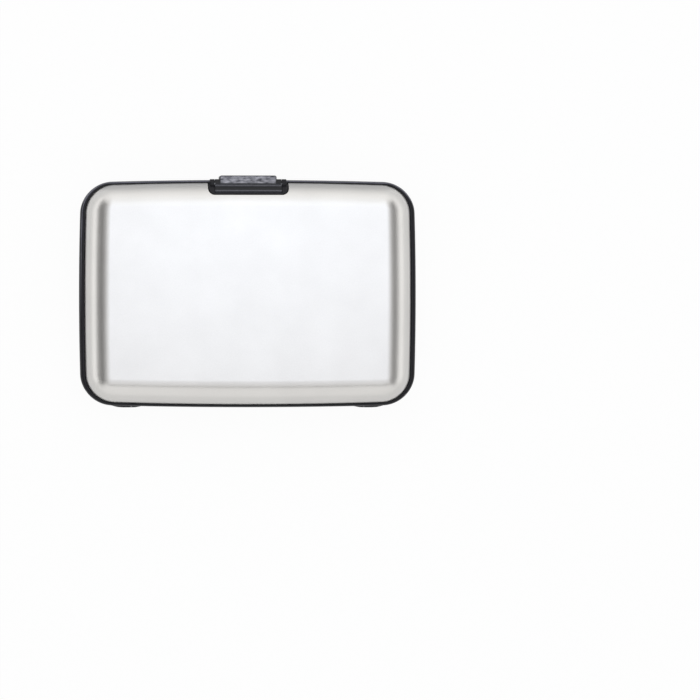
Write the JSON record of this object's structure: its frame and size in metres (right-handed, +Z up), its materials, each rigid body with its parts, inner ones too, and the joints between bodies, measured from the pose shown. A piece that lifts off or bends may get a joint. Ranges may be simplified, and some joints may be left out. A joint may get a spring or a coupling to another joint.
{
  "type": "rfid card holder",
  "caption": "Hard aluminium card case that shields contactless cards: hinged shells in black frames, a sprung edge latch, a ribbed back and a fan of plastic leaves as pockets.",
  "frame": {"origin": "middle of the bottom of the whole part's box, on the surface that the ribbed back lies on", "axes": "+X along the case's long side, +Y from the hinge to the latch, +Z up out of the smooth lid"},
  "size_m": [0.11, 0.0756, 0.02],
  "materials": {
    "satin_aluminium": "fine bead-blasted and anodised aluminium sheet, natural silver, satin",
    "black_plastic": "injection-moulded black ABS, smooth, half gloss",
    "grained_plastic": "injection-moulded black ABS with a spark-eroded grain",
    "pin_steel": "drawn bright steel wire",
    "leaf_plastic": "black polypropylene sheet, faintly translucent",
    "foam_tape": "white double-sided foam tape"
  },
  "bodies": {
    "base": {"base_shell": "satin_aluminium", "base_frame": "black_plastic", "end_leaf_base": "leaf_plastic", "foam_tape_base": "foam_tape", "hinge_pin_left": "pin_steel", "hinge_pin_right": "pin_steel", "gusset_left_1": "leaf_plastic", "gusset_right_1": "leaf_plastic"},
    "lid": {"lid_shell": "satin_aluminium", "lid_frame": "black_plastic", "end_leaf_lid": "leaf_plastic", "foam_tape_lid": "foam_tape", "latch_pin": "pin_steel", "latch_spring": "pin_steel"},
    "latch": {"latch_lever": "grained_plastic"},
    "leaf_1": {"card_leaf_1": "leaf_plastic", "gusset_left_2": "leaf_plastic", "gusset_right_2": "leaf_plastic"},
    "leaf_2": {"card_leaf_2": "leaf_plastic", "gusset_left_3": "leaf_plastic", "gusset_right_3": "leaf_plastic"},
    "leaf_3": {"card_leaf_3": "leaf_plastic", "gusset_left_4": "leaf_plastic", "gusset_right_4": "leaf_plastic"},
    "leaf_4": {"card_leaf_4": "leaf_plastic", "gusset_left_5": "leaf_plastic", "gusset_right_5": "leaf_plastic"},
    "leaf_5": {"card_leaf_5": "leaf_plastic", "gusset_left_6": "leaf_plastic", "gusset_right_6": "leaf_plastic"},
    "leaf_6": {"card_leaf_6": "leaf_plastic", "gusset_left_7": "leaf_plastic", "gusset_right_7": "leaf_plastic"}
  },
  "joints": [
    {"name": "lid_hinge", "type": "hinge", "parent": "base", "child": "lid", "pos_m": [0, -0.03666, 0.01], "axis": [1, 0, 0], "range_deg": [0, 90]},
    {"name": "latch_pivot", "type": "hinge", "parent": "lid", "child": "latch", "pos_m": [0, 0.03504, 0.0143], "axis": [1, 0, 0], "range_deg": [-5, 8], "stiffness_Nm_per_rad": 0.03},
    {"name": "leaf_1_fan", "type": "hinge", "parent": "base", "child": "leaf_1", "pos_m": [0, -0.03666, 0.01], "axis": [1, 0, 0], "range_deg": [0, 90]},
    {"name": "leaf_2_fan", "type": "hinge", "parent": "base", "child": "leaf_2", "pos_m": [0, -0.03666, 0.01], "axis": [1, 0, 0], "range_deg": [0, 90]},
    {"name": "leaf_3_fan", "type": "hinge", "parent": "base", "child": "leaf_3", "pos_m": [0, -0.03666, 0.01], "axis": [1, 0, 0], "range_deg": [0, 90]},
    {"name": "leaf_4_fan", "type": "hinge", "parent": "base", "child": "leaf_4", "pos_m": [0, -0.03666, 0.01], "axis": [1, 0, 0], "range_deg": [0, 90]},
    {"name": "leaf_5_fan", "type": "hinge", "parent": "base", "child": "leaf_5", "pos_m": [0, -0.03666, 0.01], "axis": [1, 0, 0], "range_deg": [0, 90]},
    {"name": "leaf_6_fan", "type": "hinge", "parent": "base", "child": "leaf_6", "pos_m": [0, -0.03666, 0.01], "axis": [1, 0, 0], "range_deg": [0, 90]}
  ],
  "couplings": [
    {"joint": "leaf_1_fan", "follows": "lid_hinge", "ratio": 0.1429},
    {"joint": "leaf_2_fan", "follows": "lid_hinge", "ratio": 0.2857},
    {"joint": "leaf_3_fan", "follows": "lid_hinge", "ratio": 0.4286},
    {"joint": "leaf_4_fan", "follows": "lid_hinge", "ratio": 0.5714},
    {"joint": "leaf_5_fan", "follows": "lid_hinge", "ratio": 0.7143},
    {"joint": "leaf_6_fan", "follows": "lid_hinge", "ratio": 0.8571}
  ]
}
